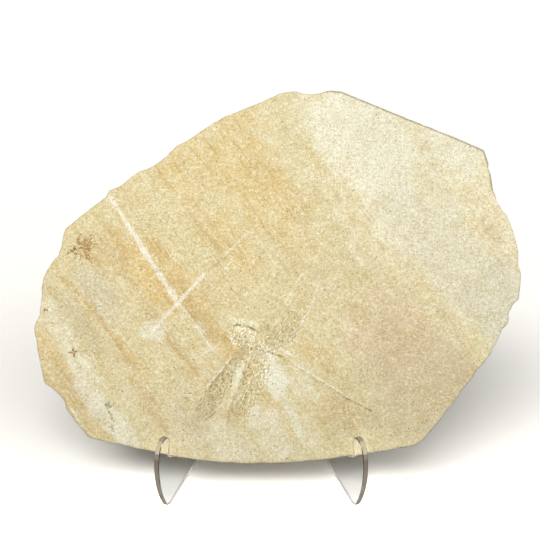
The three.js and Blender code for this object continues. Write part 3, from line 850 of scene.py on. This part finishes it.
def wing_veins(slab, material):
    """The nets of all four wings, as one plain mesh on the slab's face."""
    tree = net_tree()
    keys = {item.name: item.identifier for item in tree.interface.items_tree if item.in_out == "INPUT"}
    work = bmesh.new()
    for seed, (name, net) in enumerate(NETS.items()):
        blade = in_scene(name + "_blade", wing_blade(name))
        modifier = blade.modifiers.new("net", "NODES")
        modifier.node_group = tree
        settings = {
            "Slab": slab, "Radius": net["radius"], "Lost": net["lost"], "Seed": seed,
            "Material": material,
        }
        for key, value in settings.items():
            modifier[keys[key]] = value
        seen = blade.evaluated_get(bpy.context.evaluated_depsgraph_get())
        work.from_mesh(bpy.data.meshes.new_from_object(seen))
        bpy.data.objects.remove(blade)
    mesh = bpy.data.meshes.new("wing_veins")
    work.to_mesh(mesh)
    work.free()
    mesh.materials.append(material)
    return in_scene("wing_veins", mesh)


# ---- materials ----

def limestone():
    """Lithographic limestone, split along its bedding: dead matt, very fine, cream to ochre."""
    material, tree = new_material("limestone")
    coordinates = add(tree, "ShaderNodeTexCoord").outputs["Object"]
    place = add(
        tree, "ShaderNodeMapping", {"vector_type": "TEXTURE"}, Vector=coordinates,
        Location=SLAB_FOOT * MM, Rotation=(SLAB_TURN, 0, 0), Scale=(MM, MM, MM),
    ).outputs[0]

    def mapped(vector, **how):
        return add(tree, "ShaderNodeMapping", Vector=vector, **how).outputs[0]

    def times(one, other):
        return math_of(tree, "MULTIPLY", one, other)

    bedding = mapped(place, Rotation=(0, 0, -BANDS_TURN))
    streaked = mapped(bedding, Scale=(1, 0.1, 1))
    drawn_out = mapped(bedding, Scale=(1, 0.045, 1))
    hatched = mapped(mapped(place, Rotation=(0, 0, -WINGS_TURN)), Scale=(0.5, 1, 1))
    moved = mapped(place, Location=(70, 30, 40))
    streaks = grains(tree, streaked, 3.2, 4.0, 0.6)
    clouds = grains(tree, place, 8.0, 5.0, 0.65)
    drift = grains(tree, moved, 7.0, 5.0, 0.65)
    mottle = grains(tree, place, 3.0, 3.0, 0.65)

    seams = grains(tree, drawn_out, 3.4, 4.0, 0.6)
    hairs = grains(tree, drawn_out, 1.5, 3.0, 0.6)
    seamy = fade(tree, attribute(tree, "iron"), 0, 0.7, 0.25, 1)

    def stained(name, *layers):
        return fade(tree, sum_of(tree, attribute(tree, name), *layers), -0.25, 1.25)

    iron = stained("iron", (streaks, 0.9), (clouds, 0.8), (mottle, 0.5))
    umber = stained("umber", (streaks, 0.6), (mottle, 0.5))
    chalk = stained("chalk", (drift, 0.9), (mottle, -0.3))
    dun = stained("dun", (clouds, -0.5), (drift, 0.3))
    cool = stained("cool", (clouds, 0.5), (drift, 0.4))
    rose = times(attribute(tree, "rose"), sum_of(tree, 1.0, (clouds, 1.5)))
    brown_seams = times(fade(tree, seams, 0.03, 0.2, 0, 0.55), seamy)
    pale_seams = times(fade(tree, seams, -0.05, -0.22, 0, 0.4), seamy)
    brown_hairs = times(fade(tree, hairs, 0.09, 0.22, 0, 0.6), seamy)
    pale_hairs = fade(tree, hairs, -0.11, -0.26, 0, 0.35)
    film = sum_of(tree, attribute(tree, "film"), (mottle, 0.8))
    film = times(film, fade(tree, attribute(tree, "film"), 0, 0.15))
    islands = fade(tree, grains(tree, moved, 4.0, 4.0, 0.65), 0.03, 0.2, 0, 0.35)
    colour = coats(
        tree, "#E9DDAE", (iron, "#EACA80"), (umber, "#BD9C64"), (brown_seams, "#CCA55A"),
        (pale_seams, "#F2EAC2"), (chalk, "#F9F4DA"), (dun, "#B9A98A"), (cool, "#CFCAB4"),
        (rose, "#D6B090"), (fade(tree, film, -0.1, 1.3), "#AC9A74"), (islands, "#F3E9C6"),
        (brown_hairs, "#B8935A"), (pale_hairs, "#F3E9C6"),
    )

    ragged = times(grains(tree, place, 1.2), 1.4)

    def drawn(name, start, end, most):
        return fade(tree, math_of(tree, "ADD", attribute(tree, name), ragged), start, end, 0, most)

    # Darker along the rim, most of all along the straight edge.
    edge = sum_of(tree, attribute(tree, "edge_gap"), (ragged, 0.5))
    colour = coats(
        tree, colour, (drawn("pale_gap", 1.4, -1.2, 0.8), "#F2EDCB"),
        (drawn("brown_gap", 1.0, -1.2, 0.6), "#A98A56"),
        (drawn("calcite_gap", 0.5, -0.6, 0.9), "#F3EBD3"),
        (drawn("bright_gap", 0.4, -0.4, 0.7), "#F8F2DC"),
        (drawn("dark_gap", 0.3, -0.4, 0.75), "#86703F"),
        (drawn("manganese_gap", 0.3, -0.25, 0.7), "#7C6A4A"),
        (drawn("rust_gap", 0.3, -0.25, 0.85), "#A37534"),
        (drawn("crack_gap", 0.3, -0.3, 0.85), "#7A5A30"),
        (fade(tree, edge, 1.2, 0.3, 0, 0.65), "#8C8269"),
    )

    hatch = attribute(tree, "hatch")

    def dots(spacing, start, end, rare, common, most):
        cells = add(tree, "ShaderNodeTexVoronoi", Vector=place, Scale=1 / spacing).outputs
        chance = add(tree, "ShaderNodeSeparateColor", Color=cells["Color"]).outputs[0]
        chance = sum_of(tree, chance, (hatch, common))
        spot = fade(tree, cells["Distance"], start, end)
        return times(spot, fade(tree, chance, rare, rare + 0.12, 0, most))

    small_pits = dots(1.15, 0.42, 0.2, 0.88, 0.15, 0.6)
    large_pits = dots(2.9, 0.2, 0.08, 0.72, 0.12, 0.7)
    pits = math_of(tree, "MAXIMUM", small_pits, large_pits)
    pale_dots = dots(1.5, 0.42, 0.16, 0.84, 0.25, 0.5)
    colour = coats(tree, colour, (pits, "#7E6A42"), (pale_dots, "#FDF8E8"))

    fine = grains(tree, place, 0.9, 2.0, 0.7)
    coarse = grains(tree, moved, 2.0, 2.0, 0.6)
    strokes = times(grains(tree, hatched, 0.95, 2.0, 0.7), hatch)
    speckle = sum_of(tree, fine, (coarse, 0.55), (strokes, 2.9), (drift, 0.42))
    tint = vector_of(tree, "SCALE", (0.97, 1.2, 1.6), Scale=speckle)
    colour = vector_of(tree, "MULTIPLY_ADD", colour, tint, colour)
    # Painted shade: the colour darkens towards the slab's foot, standing in for light that falls off down
    # the face.
    height = add(tree, "ShaderNodeSeparateXYZ", Vector=place).outputs["Y"]
    low = add(tree, "ShaderNodeMapRange", Value=height, From_Min=200, From_Max=0).outputs[0]
    shade = sum_of(tree, 1.0, (math_of(tree, "POWER", low, 2.0), -PAINTED_FOOT_SHADE))
    colour = vector_of(tree, "SCALE", colour, Scale=shade)

    relief = sum_of(tree, fine, (coarse, 0.6), (pits, -1.6))
    bump = add(tree, "ShaderNodeBump", Height=relief, Distance=0.1 * MM, Strength=0.8).outputs[0]
    matt = sum_of(tree, 0.86, (mottle, 0.2))
    surface(tree, Base_Color=colour, Normal=bump, Roughness=matt, Specular_IOR_Level=0.3)
    return material


def vein_traces():
    """Limonite in the wings' veins: a dull brown trace in the limestone."""
    material, tree = new_material("limonite_traces")
    coordinates = add(tree, "ShaderNodeTexCoord").outputs["Object"]
    uneven = grains(tree, coordinates, 2.5 * MM, 2.0)
    shown = sum_of(tree, attribute(tree, "trace"), (uneven, 1.2))
    colour = blend(tree, fade(tree, shown, 0, 1), "#E4D6AC", "#7C6845")
    surface(tree, Base_Color=colour, Roughness=0.9, Specular_IOR_Level=0.3)
    return material


def cast_acrylic(name, colour, roughness, clearness):
    """Cast acrylic sheet: glass-clear through its flat faces. On the frosted edges, the grey and warm
    grey colours are painted shade and painted reflection of the shadowed stone and table seen inside a
    plate."""
    material, tree = new_material(name)
    surface(tree, Base_Color=colour, Roughness=roughness, IOR=1.49, Transmission_Weight=clearness)
    return material


# ---- the easel ----

FROST_TOP = 33.2  # how high the heavy frost reaches
HOOK_FOOT = 36.5  # the hooks above it are flame-polished, and see-through but for their tops, which are frosted and tinted with painted shade
POLISHED, FROST = 0.02, 0.2  # roughness
CLEAR_FACE, FRONT_EDGE, UNDERSIDE, TOP_EDGE = range(4)  # the plates' materials, in their order: clear, then frosts tinted with painted shade and reflection
FLAT = 0.7  # least cosine between a flat face and its plate
TURNED = 0.3  # least cosine between an edge's face and the way that it is said to look
NEARLY_LEVEL = 0.75


def easel_plate(name, finishes):
    """One acrylic plate: clear, but for frost tinted with painted shade and reflection on its front edge,
    underside and tops.
    """
    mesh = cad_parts[name].data.copy()
    mesh.name = "clear_" + name
    join_faces(mesh)
    mesh.materials.clear()
    for finish in finishes:
        mesh.materials.append(finish)
    largest = max(mesh.polygons, key=lambda face: face.area)
    across = largest.normal.copy()
    for face in mesh.polygons:
        height = face.center.z / MM
        in_front, below = face.normal.y < -TURNED, face.normal.z < -TURNED
        face.material_index = CLEAR_FACE
        if abs(face.normal.dot(across)) >= FLAT:
            continue
        if in_front and height < FROST_TOP:
            face.material_index = FRONT_EDGE
        elif below and height < HOOK_FOOT:
            face.material_index = UNDERSIDE
        elif face.normal.z > NEARLY_LEVEL or in_front and height < HOOK_FOOT:
            face.material_index = TOP_EDGE
    plate = in_scene("clear_" + name, mesh)
    plate.visible_shadow = False  # clear sheet hardly darkens the table
    return plate


def join_faces(mesh):
    """Joins the loose triangles of a CAD mesh and rounds its shading over gentle bends."""
    work = bmesh.new()
    work.from_mesh(mesh)
    bmesh.ops.remove_doubles(work, verts=work.verts, dist=1e-6)
    for face in work.faces:
        face.smooth = True
    for edge in work.edges:
        edge.smooth = edge.calc_face_angle(0) < math.radians(25)
    work.to_mesh(mesh)
    work.free()


# ---- the studio ----

CAMERA_DISTANCE = 750
LENS, SENSOR_WIDTH = 80.9, 36
AIM = Vector((-4.94, 119.9, 0))  # on the slab's face
# Each soft light's azimuth, height, half width, half height, side edge and upper edge in degrees,
# then its glow: the main one in front, and weaker, lower ones to the right and the left.
SOFTBOXES = (
    (-10, 40, 25, 8, 4, 4, 11.5),
    (30, 30, 15, 12, 5, 5, 5),
    (-20, 30, 15, 12, 5, 5, 2),
)
DIM_GLOW = 0.01  # all round, between the lights
BACK_LIGHT = 0.5  # a weak light low behind the slab, so that its back isn't lost in the dark
BACK_LIGHT_TOP = (math.radians(12), math.radians(4))  # the heights between which it fades
WHITE_WALL = (1.05, 1.05, 1.05, 1)
TABLE_HALF = 9  # metres
TABLE_PAINT = (0.4, 0.4, 0.4, 1)  # what the table gives back to the slab
TABLE_GLARE = (1.66, 1.615, 1.53, 1)  # overexposed, so that it reads as plain white; its warm tint, seen only in shadow, is painted bounce light from the stone
TABLE_THROUGH = (1.02, 1.0, 0.98, 1)  # through the plates
TABLE_TURNED = (0.95, 0.84, 0.6, 1)  # painted reflection: rays turned inside the plates see the table in the stone's warm glow


def by_path(tree, elsewhere, seen, through, inner):
    """A colour for each kind of ray: one straight from the camera, one that has gone through clear
    acrylic, one that has also been turned inside it, and all the others."""
    ray = add(tree, "ShaderNodeLightPath").outputs
    turned = math_of(tree, "GREATER_THAN", ray["Glossy Depth"], 0.5)
    turned = math_of(tree, "MULTIPLY", ray["Is Transmission Ray"], turned)
    colour = blend(tree, ray["Is Transmission Ray"], elsewhere, through)
    colour = blend(tree, turned, colour, inner)
    return blend(tree, ray["Is Camera Ray"], colour, seen)


def studio():
    """A white table, soft lights in front of it, and white all round."""
    scene = bpy.context.scene
    scene.view_settings.view_transform = "Standard"
    aim = SLAB_FRAME @ (AIM * MM)
    camera = in_scene("camera", bpy.data.cameras.new("camera"))
    camera.data.sensor_width = SENSOR_WIDTH
    camera.data.lens = LENS
    camera.data.clip_start = 0.01
    camera.location = aim + Vector((0, -math.cos(LEAN), math.sin(LEAN))) * CAMERA_DISTANCE * MM
    camera.rotation_euler = (SLAB_TURN, 0, 0)
    scene.camera = camera

    material, tree = new_material("white_table")
    paint = by_path(tree, TABLE_PAINT, TABLE_GLARE, TABLE_THROUGH, TABLE_TURNED)
    white = add(tree, "ShaderNodeBsdfDiffuse", Color=paint)
    add(tree, "ShaderNodeOutputMaterial", Surface=white.outputs[0])
    corners = TABLE_HALF * np.array([(-1, -1, 0), (1, -1, 0), (1, 1, 0), (-1, 1, 0)], float)
    table = new_piece("white_table", corners, np.array([(0, 1, 2), (0, 2, 3)]), material)

    world = bpy.data.worlds.new("studio")
    scene.world = world
    world.use_nodes = True
    tree = world.node_tree
    tree.nodes.clear()
    sky = add(tree, "ShaderNodeTexCoord").outputs["Generated"]
    way = add(tree, "ShaderNodeSeparateXYZ", Vector=sky)
    forward = math_of(tree, "MULTIPLY", way.outputs["Y"], -1.0)
    azimuth = math_of(tree, "ARCTAN2", way.outputs["X"], forward)
    height = math_of(tree, "ARCSINE", way.outputs["Z"])
    behind = fade(tree, height, *BACK_LIGHT_TOP, DIM_GLOW, BACK_LIGHT)
    glow = fade(tree, forward, -0.4, 0.6, behind, DIM_GLOW)
    for *angles, strength in SOFTBOXES:
        to_side, to_height, wide, tall, side_edge, upper_edge = np.radians(angles)
        off_side = math_of(tree, "ABSOLUTE", math_of(tree, "SUBTRACT", azimuth, to_side))
        off_height = math_of(tree, "ABSOLUTE", math_of(tree, "SUBTRACT", height, to_height))
        across = fade(tree, off_side, wide + side_edge, wide - side_edge)
        up = fade(tree, off_height, tall + upper_edge, tall - upper_edge)
        glow = sum_of(tree, glow, (math_of(tree, "MULTIPLY", across, up), strength))
    soft_light = vector_of(tree, "SCALE", (1, 1, 1), Scale=glow)
    # Painted shade: rays turned inside the plates see a warm grey sky, standing in for the shadowed stone
    # and table.
    light = by_path(tree, soft_light, WHITE_WALL, WHITE_WALL, "#A0957E")
    sky = add(tree, "ShaderNodeBackground", Color=light)
    add(tree, "ShaderNodeOutputWorld", Surface=sky.outputs[0])


stone = limestone()
acrylic = (
    cast_acrylic("clear_acrylic", "#FBFCFB", POLISHED, 1.0),
    # Frost tinted with painted shade on the front edge and tops, and with painted reflection on the
    # underside.
    cast_acrylic("frosted_acrylic_edge_painted_shade", "#9E9484", FROST, 0.5),
    cast_acrylic("frosted_acrylic_underside_painted_reflection", "#BDB9B2", FROST, 0.25),
    cast_acrylic("frosted_acrylic_top_painted_shade", "#D2C8B2", FROST, 0.6),
)
slab = limestone_slab(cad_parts[SLAB], stone)
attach(slab, "root")
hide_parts(SLAB)
veins = wing_veins(slab, vein_traces())
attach(veins, "root")
for name in PLATES:
    plate = easel_plate(name, acrylic)
    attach(plate, "root")
    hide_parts(name)
studio()
